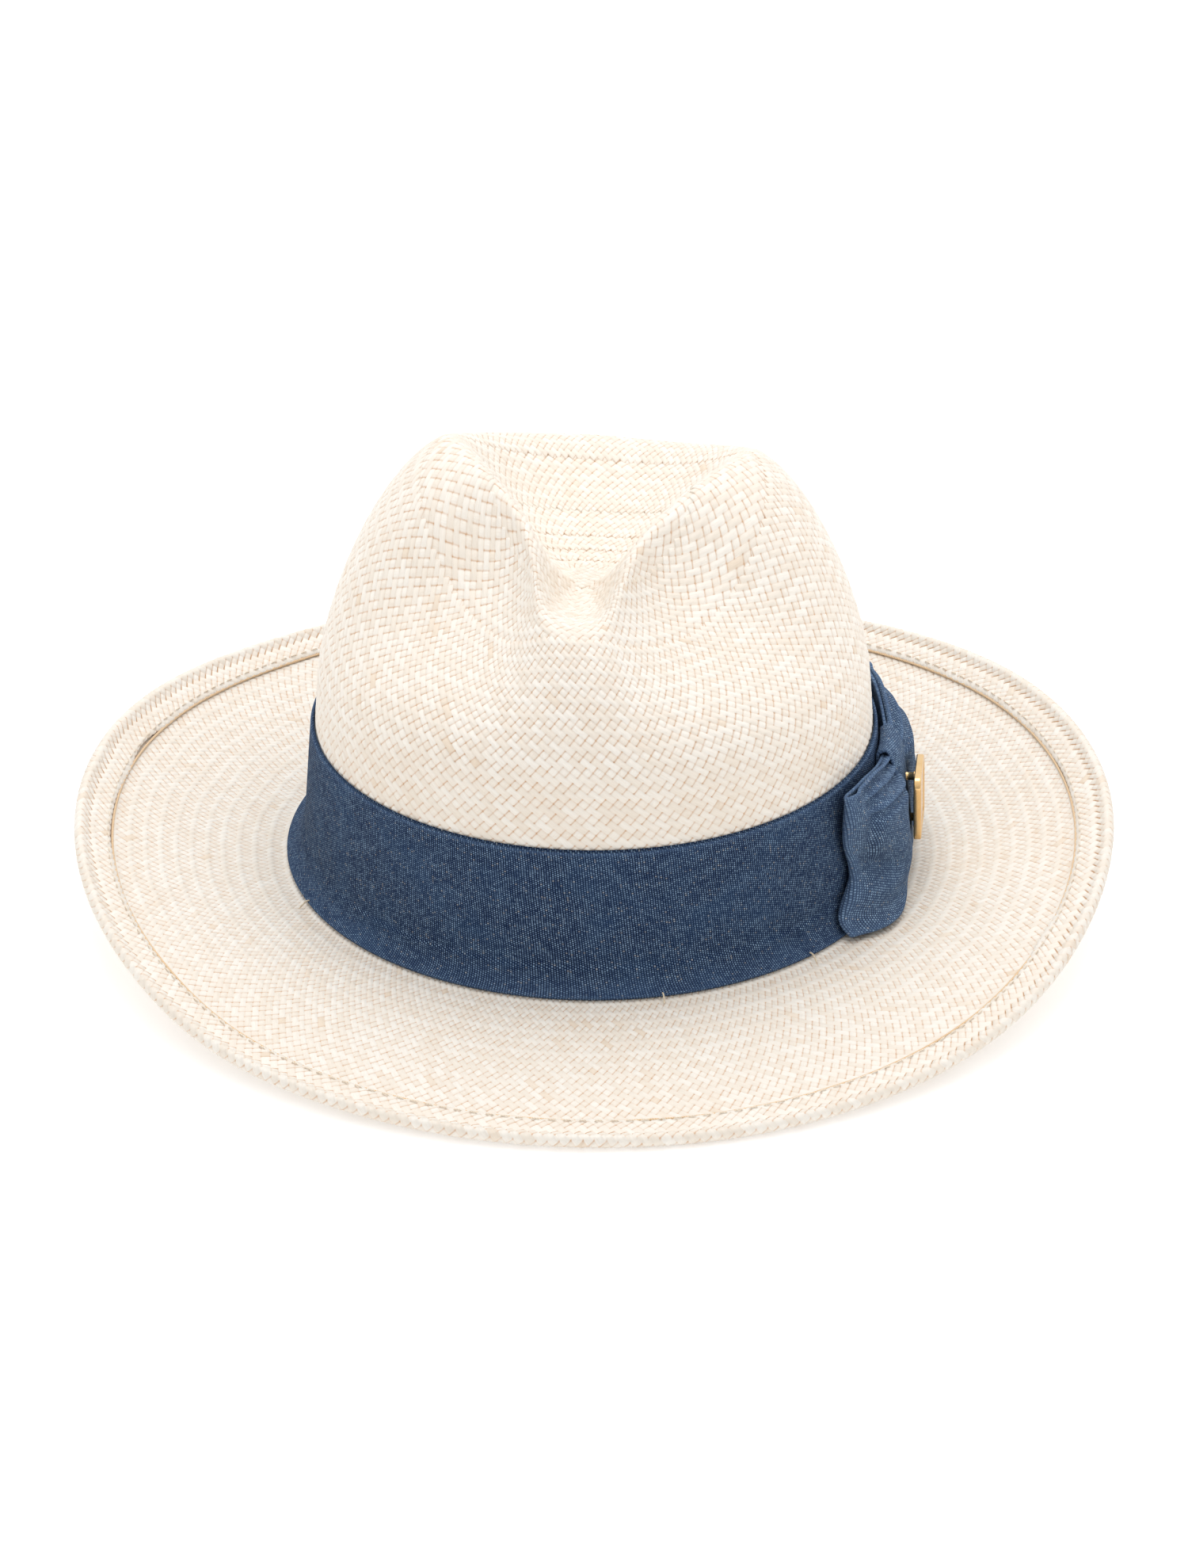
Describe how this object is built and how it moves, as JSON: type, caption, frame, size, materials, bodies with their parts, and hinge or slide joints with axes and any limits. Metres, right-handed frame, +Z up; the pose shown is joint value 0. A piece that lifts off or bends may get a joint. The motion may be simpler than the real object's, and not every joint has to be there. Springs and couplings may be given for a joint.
{
  "type": "straw fedora hat",
  "caption": "Woven straw fedora with a pinched teardrop crown, down-turned front brim with a turned-over hem, blue fabric hatband, side bow and plain gold-coloured badge.",
  "frame": {"origin": "centre of the hat's outline seen from above, on the surface it rests on; the centre of the head opening is 1.09 mm behind it and 10.75 mm above it", "axes": "+Z up through the crown, -Y to the front of the hat, +X to the wearer's left, where the bow sits"},
  "size_m": [0.3046, 0.3379, 0.1282],
  "materials": {
    "straw": "woven bleached plant fibre",
    "denim": "blue twill cotton",
    "gold_metal": "polished gold-coloured",
    "wire": "drawn wire",
    "sweatband": "matt",
    "reed": "plain",
    "tan_thread": "cotton thread",
    "pale_thread": "cotton thread"
  },
  "bodies": {
    "root": {"straw_body": "straw", "brim_wire": "wire", "hem_thread": "tan_thread", "hatband": "denim", "bow_front_loop": "denim", "bow_rear_loop": "denim", "bow_wrap": "denim", "badge_plate": "gold_metal", "badge_post_upper": "gold_metal", "badge_post_lower": "gold_metal", "badge_washer_upper": "gold_metal", "badge_washer_lower": "gold_metal", "sweatband": "sweatband", "sweatband_reed": "reed", "sweatband_thread": "tan_thread", "band_tack_1": "pale_thread", "band_tack_2": "pale_thread", "band_tack_3": "pale_thread", "band_tack_4": "pale_thread", "band_tack_5": "pale_thread", "band_tack_6": "pale_thread"}
  },
  "joints": []
}
